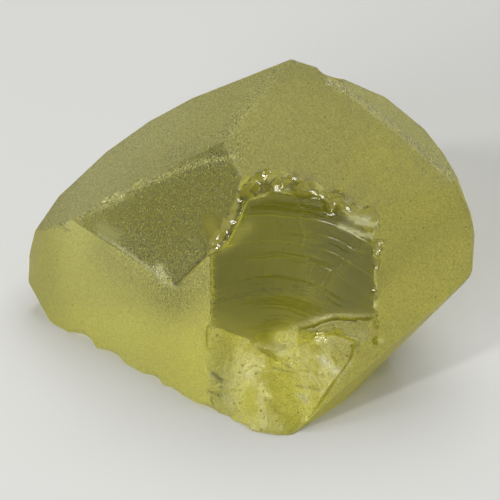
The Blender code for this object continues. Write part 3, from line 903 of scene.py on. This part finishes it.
# Path, half width, a colour and how much of it, then what is added to grain and clearness
STROKES = {
    # Painted shadow: a darker band below the flake's edges and in the corner beside the scar.
    "painted shadow under the flake": (
        ((-18.6, 4.0), (-14.5, 1.2), (-11.8, -0.4)), 2.2, DARK, 0.27, 0.2, 0.0),
    "painted shadow in the corner left of the scar": (
        ((-11.6, -0.4), (-8.6, 1.4)), 2.1, DARK, 0.30, 0.5, 0.0),
    # Painted highlight: a white line where the ridge under the flake catches the light.
    "painted highlight on the ridge under the flake": (
        ((-19.4, 6.0), (-16.5, 4.2), (-13.6, 2.1), (-11.4, 0.6)), 0.15, WHITE, 0.9, -1.0, 0.2),
    # Painted shadow in the step along the flake's right edge.
    "painted shadow in the step beside the flake": (
        ((-11.4, 0.9), (-9.4, 2.8), (-8.0, 4.3)), 0.2, DARK, 0.6, 0.0, 0.3),
    "grain at the flake's tip": (
        ((-16.0, 5.0), (-12.4, 2.0), (-10.0, 3.3)), 1.7, PALE, 0.04, 0.9, 0.0),
    "glitter at the flake's tip": (
        ((-13.2, 2.4), (-12.5, 1.4)), 0.5, WHITE, 1.0, 1.0, -0.2),
    "haze on the left ridge": (
        ((-19.2, 6.6), (-17.8, 5.9)), 0.7, PALE, 0.4, -1.0, -0.3),
    "frayed left ridge": (
        ((-23.2, 7.2), (-19.0, 9.0), (-15.0, 10.9), (-9.0, 13.0), (-5.0, 13.4)), 0.3, PALE, 0.45, 1.8, 0.2),
    "frayed ridge under the peak": (
        ((-1.1, 22.3), (-3.6, 19.8), (-5.4, 17.2), (-7.0, 14.8)), 0.7, PALE, 0.10, 0.8, 0.0),
    "pits in the left corner": (
        ((-23.6, 7.0), (-22.9, 6.4)), 0.4, DARK, 0.35, 1.6, 0.0),
    "duller foot in the middle": (
        ((-13.0, -6.4), (-9.6, -8.0)), 2.4, DARK, 0.14, 0.0, 0.0),
    "glints on the left ridge": (
        ((-18.8, 9.3), (-17.0, 9.9)), 0.4, PALE, 0.7, 2.0, 0.5),
    "duller roof over the flake": (
        ((-11.0, 13.2), (-6.0, 14.2)), 1.6, DARK, 0.16, 0.6, 0.0),
    "lighter roof on the left": (
        ((-21.5, 9.5), (-12.0, 17.0)), 2.6, PALE, 0.25, 0.0, 0.0),
    # Painted light: the left end is made lighter and yellower in place of more light from the left.
    "painted light on the left end": (
        ((-26.0, 4.0), (-25.5, -2.0), (-22.0, -5.0)), 3.6, YELLOW, 0.75, 0.0, 0.0),
    "crushed grain left of the scar": (
        ((-7.8, 4.3), (-7.75, 0.0), (-7.8, -3.2)), 0.3, PALE, 0.45, 2.0, 0.4),
    "dull band on the front right": (
        ((7.9, 1.0), (12.4, 5.3), (17.3, 8.6)), 1.4, DARK, 0.16, 0.0, 0.0),
    "light right end": (
        ((15.0, -1.5), (17.6, 4.0)), 2.6, YELLOW, 0.45, 0.0, 0.0),
    "lighter roof on the right": (
        ((9.0, 13.5), (14.0, 8.5)), 3.0, YELLOW, 0.42, 0.0, 0.0),
    "frayed bevel": (
        ((3.8, 20.9), (6.0, 19.8), (10.7, 16.2), (15.7, 11.5)), 0.3, WHITE, 0.9, 2.0, 0.5),
    # Painted shade inside the clear scar: darker under the overhanging rim, in the hollow and on the right.
    "painted shade under the scar's rim": (
        ((-4.0, 8.8), (1.0, 8.8), (5.0, 7.4)), 1.1, DARK, 0.25, 0.0, 0.0),
    "painted shade in the scar's hollow": (
        ((-6.0, 3.4), (-3.2, 0.6)), 2.0, DARK, 0.22, 0.0, 0.0),
    "painted shade on the right of the scar": (
        ((4.8, 5.0), (6.6, 2.4), (5.8, 0.0)), 2.0, DARK, 0.35, 0.0, 0.0),
    "light wedge in the scar": (
        ((-6.6, 4.7), (-4.2, 6.6)), 0.6, YELLOW, 0.28, 0.0, -0.2),
    "light foot of the scar": (
        ((-7.4, -3.0), (-4.6, -4.4), (-2.4, -5.6)), 1.2, YELLOW, 0.20, 0.3, -0.3),
    "tongue at the scar's tip": (
        ((-0.8, -4.4), (0.3, -4.2), (0.4, -6.4), (-0.8, -6.6)), 0.9, YELLOW, 0.85, 0.9, -0.8),
    # Painted shade on the wall of the ledge, and a painted highlight where its top edge catches the light.
    "painted shade on the edge of the ledge": (
        ((0.6, -3.6), (1.0, -3.3), (4.4, -2.3), (8.1, -2.3)), 0.45, OLIVE, 0.75, 0.8, -1.1),
    "painted highlight at the end of the ledge's edge": (
        ((2.1, -2.6), (3.9, -2.2)), 0.14, WHITE, 0.5, 0.0, 0.3),
    "glassy patch at the left step": (
        ((-7.9, 7.0), (-7.3, 5.6)), 0.7, AMBER, 0.7, -1.6, 0.8),
    # Painted shadow in the stepped groove at the left of the scar.
    "painted shadow in the groove at the left step": (
        ((-4.8, 9.5), (-5.0, 8.4), (-5.8, 6.5), (-6.9, 4.8)), 0.16, DARK, 0.8, 0.0, 0.0),
    "dull left part of the toe": (
        ((-6.9, -5.0), (-6.6, -11.4)), 1.3, DARK, 0.42, 0.3, -0.4),
    "light line on the toe": (
        ((-4.7, -6.2), (-4.9, -12.4)), 0.35, PALE, 0.25, 0.5, 0.0),
    "light right part of the toe": (
        ((0.4, -9.4), (1.6, -11.6)), 1.2, YELLOW, 0.9, 0.3, -0.3),
    "grey corner of the toe": (
        ((4.6, -5.2), (5.4, -6.2)), 0.9, AMBER, 0.45, 0.5, -0.4),
    # Painted highlights on the toe: a white spot and a small glint.
    "painted highlight on the toe": (
        ((3.2, -6.5), (4.8, -7.8)), 0.4, WHITE, 1.0, 0.4, 0.2),
    "lower glint on the toe": (
        ((1.1, -10.2), (1.6, -10.7)), 0.3, WHITE, 1.0, 0.4, 0.0),
    # Painted glints: white streaks where the chips in the scar's corner throw back the lamp's light.
    "upper painted glints in the scar's corner": (
        ((5.9, 7.6), (7.6, 7.3)), 0.4, WHITE, 0.9, 0.8, -0.3),
    "middle painted glint in the scar's corner": (
        ((6.4, 7.1), (8.1, 6.8)), 0.24, WHITE, 1.0, 0.0, -0.7),
    "left painted glint in the scar's corner": (
        ((4.9, 6.7), (6.6, 6.1)), 0.24, WHITE, 1.0, 0.0, -0.7),
    "lower painted glint in the scar's corner": (
        ((6.7, 5.9), (7.8, 5.8)), 0.22, WHITE, 1.0, 0.0, -0.7),
    "upper streak on the toe": (
        ((-1.8, -7.4), (0.7, -8.0)), 0.12, DARK, 0.5, 0.0, 0.2),
    "lower streak on the toe": (
        ((0.6, -9.2), (2.9, -9.6)), 0.12, DARK, 0.5, 0.0, 0.2),
    "upper pit of the toe": (
        ((-7.7, -8.0), (-6.9, -8.7)), 0.24, DARK, 0.85, 0.8, 0.3),
    "lower pit of the toe": (
        ((-8.1, -9.9), (-7.0, -10.3)), 0.24, DARK, 0.7, 0.8, 0.3),
}


print("strokes:", len(STROKES))

# %% Lay the colours on
# A painted highlight: a pale line along the foot, low down on the faces that face out of the scar.
FOOT_RIM = 0.3
FOOT_PAINTED_HIGHLIGHT = 0.85
TURNS_AWAY = 5.0
CRUSHED_FROM = -5.0
CRUSHED_WITHIN = 2.4
GLASS = 1.1
CRUSHED_GLASS = 0.3


def column(rows, name, width=1):
    """One value of all rows of a mesh, as an array."""
    values = np.empty(len(rows) * width, dtype=np.float32)
    rows.foreach_get(name, values)
    return values.reshape(-1, width) if width > 1 else values


def paint(thing):
    """Colour the breaks, paint a highlight on the foot, and lay strokes on the skin that faces out of the
    scar.
    """
    mesh = thing.data
    spots = column(mesh.vertices, "co", 3)
    above_foot = spots @ np.array(TO_WORLD.to_3x3()[2]) + TO_WORLD.translation.z
    spots = spots[:, :2]
    seen = np.clip(column(mesh.vertex_normals, "vector", 3)[:, 2] * TURNS_AWAY, 0.0, 1.0)
    tint = column(mesh.attributes["tint"].data, "color", 4)[:, :3]
    grain, clear, scar, toe, chips, reach, angle = (
        column(mesh.attributes[name].data, "value")
        for name in ("grain", "clear", "scar", "toe", "chips", "reach", "angle"))
    crushed = toe * np.clip((angle * reach - CRUSHED_FROM) / CRUSHED_WITHIN, 0.0, 1.0)
    fresh = np.maximum(np.maximum(scar, toe), chips)
    grain *= 1.0 - fresh
    clear = clear * (1.0 - fresh) + np.maximum(scar, chips) * GLASS + crushed * CRUSHED_GLASS
    # Painted highlight along the foot.
    rim = np.exp(-((above_foot / FOOT_RIM) ** 2)) * seen * FOOT_PAINTED_HIGHLIGHT
    # The chips get their own paler colour, the scar painted shade, and the crushed toe a pale colour that
    # is partly painted glow.
    for share, colour in ((chips, CHIPPED), (crushed, CRUSHED_AND_GLOWING), (scar, SCAR_SHADE), (rim, PALE)):
        tint += (np.array(colour) - tint) * share[:, None]
    for path, half, colour, share, more_grain, more_clear in STROKES.values():
        away = np.full(len(spots), 1e9)
        for start, end in zip(np.array(path[:-1]), np.array(path[1:])):
            along = np.clip((spots - start) @ (end - start) / ((end - start) @ (end - start)), 0.0, 1.0)
            away = np.minimum(away, np.hypot(*(spots - start - along[:, None] * (end - start)).T))
        strength = np.exp(-((away / half) ** 2)) * seen
        tint += (np.array(colour) - tint) * (strength * share)[:, None]
        grain += more_grain * strength
        clear += more_clear * strength
    colours = np.column_stack((tint, np.ones(len(tint)))).astype(np.float32)
    mesh.attributes["tint"].data.foreach_set("color", colours.ravel())
    for name, values, most in (("grain", grain, 2.0), ("clear", clear, GLASS)):
        numbers = np.clip(values, 0.0, most).astype(np.float32)
        mesh.attributes[name].data.foreach_set("value", numbers)
        print(name, "on average:", round(float(numbers.mean()), 2))


paint(stone)

# %% [markdown]
# ## The finish
#
# Seen from close by, the frost is a fine grain with darker holes. The scar carries fine rays away
# from the blow, called hackles, faint rings round it and a few sharper ones, and the crushed toe is
# full of small planes. Each is a pattern of its own, worked out from the place in the stone or from
# the distance and angle to the blow. An image would do it too, but it would show its pixels where
# the light passes through the stone.

# %% The fine marks
FINE_BLOTS = 0.17
BROAD_BLOTS = 0.6
HOLE_GAP = 0.75
CELL_SIZE = 0.8
# Distance from the blow in mm, and strength
ARCS = ((18.8, 0.35), (17.5, 0.2), (16.2, 0.4), (14.6, 0.2))
ARC_EDGE = (0.02, 0.14)


def small_holes(nodes, where, toe, blots):
    """Small dark holes, here and there, and larger on the toe."""
    away = nodes.add("ShaderNodeTexVoronoi", {}, {
        "Vector": where, "Scale": 1.0 / (HOLE_GAP * MM)})["Distance"]
    return (1.0 - away.between(toe * 0.05 + 0.06, toe * 0.09 + 0.17)) * blots.between(-0.1, 0.2)


def hackles(nodes, reach, angle, blots):
    """Fine rays that run away from the blow, on its right side."""
    rays = nodes.add("ShaderNodeCombineXYZ", {}, {"X": reach * 0.35, "Y": angle * 42.0})[0]
    return nodes.noise(rays, 1.0, detail=2.0) * angle.between(0.05, 0.4) * (blots * 0.7 + 0.6)


def faint_rings(nodes, reach, angle):
    """Uneven rings round the blow."""
    rings = nodes.add("ShaderNodeCombineXYZ", {}, {"X": reach * 2.4, "Y": angle * 3.0})[0]
    return nodes.noise(rings, 1.0, detail=2.0, rough=0.6)


def sharp_rings(reach, shells):
    """A few sharper rings, broken where the faint ones run low."""
    lines = 0.0
    for radius, strength in ARCS:
        away = (reach - radius).maths("ABSOLUTE")
        lines = lines + (1.0 - away.between(*ARC_EDGE)) * strength
    return lines * shells.between(-0.4, 0.3)


def small_planes(nodes, where):
    """The height of small planes, each tilted its own way."""
    cells = nodes.add("ShaderNodeTexVoronoi", {}, {"Vector": where, "Scale": 1.0 / (CELL_SIZE * MM)})
    lean = nodes.vector("SUBTRACT", cells["Color"], (0.5, 0.5, 0.5))
    return nodes.vector("DOT_PRODUCT", lean, nodes.vector("SUBTRACT", where, cells["Position"])) / MM


def shaded(nodes, colour, shade):
    """A colour made lighter or darker by a number."""
    grey = nodes.add("ShaderNodeCombineXYZ", {}, {"X": shade, "Y": shade, "Z": shade})[0]
    return nodes.add("ShaderNodeMix", {"data_type": "RGBA", "blend_type": "MULTIPLY"}, {
        0: 1.0, 6: colour, 7: grey})[2]


# %% [markdown]
# One Principled shader does both the frosted and the clear skin. A mix of a frosted and a clear
# shader could do the same, but light that goes in through one kind of skin has to come out through
# the other. The depth of stone between gives the colour, by an absorption inside. Frost is a rougher
# skin with a little milk in it, which is why a tenth of the light is left to the base colour.

# %% The stone's material
QUARTZ_IOR = 1.54
LIGHT_THROUGH = 0.9
INNER_COLOUR = (0.86, 0.84, 0.05, 1.0)
INNER_DENSITY = 60.0


def finish(material):
    material.use_nodes = True
    nodes = Nodes(material.node_tree)
    where = nodes.add("ShaderNodeTexCoord")["Object"]
    tint = nodes.add("ShaderNodeAttribute", {"attribute_name": "tint"})["Color"]
    grain, clear, scar, toe, chips, reach, angle = (
        nodes.add("ShaderNodeAttribute", {"attribute_name": name})["Fac"]
        for name in ("grain", "clear", "scar", "toe", "chips", "reach", "angle"))
    fine = nodes.noise(where, FINE_BLOTS * MM, detail=1.0)
    blots = nodes.noise(where, BROAD_BLOTS * MM, detail=1.0)
    specks = small_holes(nodes, where, toe, blots)
    rays = hackles(nodes, reach, angle, blots)
    shells = faint_rings(nodes, reach, angle)
    arcs = sharp_rings(reach, shells) * scar
    planes = small_planes(nodes, where)
    frost = 1.0 - scar.maths("MAXIMUM", toe).maths("MAXIMUM", chips)
    sparkle = fine.between(0.2, 0.36) * (grain - 0.6).clamped()

    shade = 1.0 + fine * (grain + frost * 0.10) + blots * (grain * 0.15 + frost * 0.03) - specks * 0.6
    shade = shade + sparkle * 1.6 + arcs * 2.0 + shells * scar * 0.10 + (shells * 0.10 + fine * 0.5) * toe
    rough = 0.5 - clear * 0.4 + arcs * 0.5 - sparkle * 0.2
    relief = fine * (grain * 0.04 + frost * 0.010) + blots * grain * 0.03 - specks * 0.05 * frost
    relief = relief + (rays * 0.03 + shells * 0.015 + arcs * 0.05) * scar
    relief = relief + (planes * 0.10 + shells * 0.03 + rays * 0.02 + fine * 0.015 - specks * 0.06) * toe
    bump = nodes.add("ShaderNodeBump", {}, {"Strength": 1.0, "Distance": 1.0, "Height": relief * MM})[0]

    look = material.node_tree.nodes["Principled BSDF"]
    colour = shaded(nodes, tint, shade)
    for name, value in {"Base Color": colour, "Roughness": rough, "Normal": bump}.items():
        material.node_tree.links.new(value.socket, look.inputs[name])
    look.inputs["IOR"].default_value = QUARTZ_IOR
    look.inputs["Transmission Weight"].default_value = LIGHT_THROUGH
    depth = nodes.add("ShaderNodeVolumeAbsorption", {}, {"Color": INNER_COLOUR, "Density": INNER_DENSITY})
    end = material.node_tree.nodes["Material Output"]
    material.node_tree.links.new(depth[0].socket, end.inputs["Volume"])
    print("finish:", len(material.node_tree.nodes), "nodes")


finish(skin_material)

# %% [markdown]
# ## Into the world
#
# So far the stone lies in the scar's frame, in millimetres. The mesh itself is moved and shrunk, and
# the object stays at the origin, so that patterns in the material keep their size. Faces are shaded
# smooth, except across edges that a real break would leave sharp.

# %% Place the stone, in metres
SHARP_FROM = math.radians(38)

stone.data.transform(Matrix.Scale(MM, 4) @ TO_WORLD)
stone.data.shade_smooth()
stone.data.set_sharp_from_angle(angle=SHARP_FROM)
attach(stone, "root")
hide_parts("lemon_quartz")
print("in the world:", stone.name, [round(side / MM, 1) for side in stone.dimensions], "mm")

# %% [markdown]
# ## Floor and light
#
# A plain pale floor, and soft light from two wide panels and an even sky, which brings out the glow
# inside the stone. One small panel from the front left is the lamp that gives the glints.

# %% Floor, panels and sky
FLOOR_HALF = 3.0
FLOOR_COLOUR = (0.62, 0.62, 0.60, 1.0)
FLOOR_ROUGHNESS = 0.8
SKY = 0.28
LIT_POINT = Vector((0, 0, 0.015))
# Place in metres, width, height and watts
PANELS = {
    "top panel": ((0.1, 0.2, 0.6), 0.5, 0.4, 2.4),
    "front panel": ((-0.3, -0.55, 0.22), 0.35, 0.2, 2.7),
    "key panel": ((-0.29, -0.29, 0.30), 0.05, 0.05, 0.8),
}


def pale_material():
    made = bpy.data.materials.new("pale floor")
    made.use_nodes = True
    look = made.node_tree.nodes["Principled BSDF"]
    look.inputs["Base Color"].default_value = FLOOR_COLOUR
    look.inputs["Roughness"].default_value = FLOOR_ROUGHNESS
    return made


def add_floor():
    signs = ((-1, -1), (1, -1), (1, 1), (-1, 1))
    made = new_object("floor", [(x * FLOOR_HALF, y * FLOOR_HALF, 0) for x, y in signs], [(0, 1, 2, 3)])
    made.data.materials.append(pale_material())


def add_panel(name, place, width, height, watts):
    lamp = bpy.data.lights.new(name, "AREA")
    lamp.shape = "RECTANGLE"
    lamp.size = width
    lamp.size_y = height
    lamp.energy = watts
    made = bpy.data.objects.new(name, lamp)
    made.location = place
    made.rotation_euler = (LIT_POINT - Vector(place)).to_track_quat("-Z", "Y").to_euler()
    bpy.context.scene.collection.objects.link(made)


def add_sky(strength):
    world = bpy.data.worlds.new("studio")
    world.use_nodes = True
    world.node_tree.nodes["Background"].inputs["Color"].default_value = (1.0, 1.0, 1.0, 1.0)
    world.node_tree.nodes["Background"].inputs["Strength"].default_value = strength
    bpy.context.scene.world = world


add_floor()
for name, (place, width, height, watts) in PANELS.items():
    add_panel(name, place, width, height, watts)
add_sky(SKY)
bpy.context.scene.view_settings.view_transform = "Standard"
print("panels:", len(PANELS))
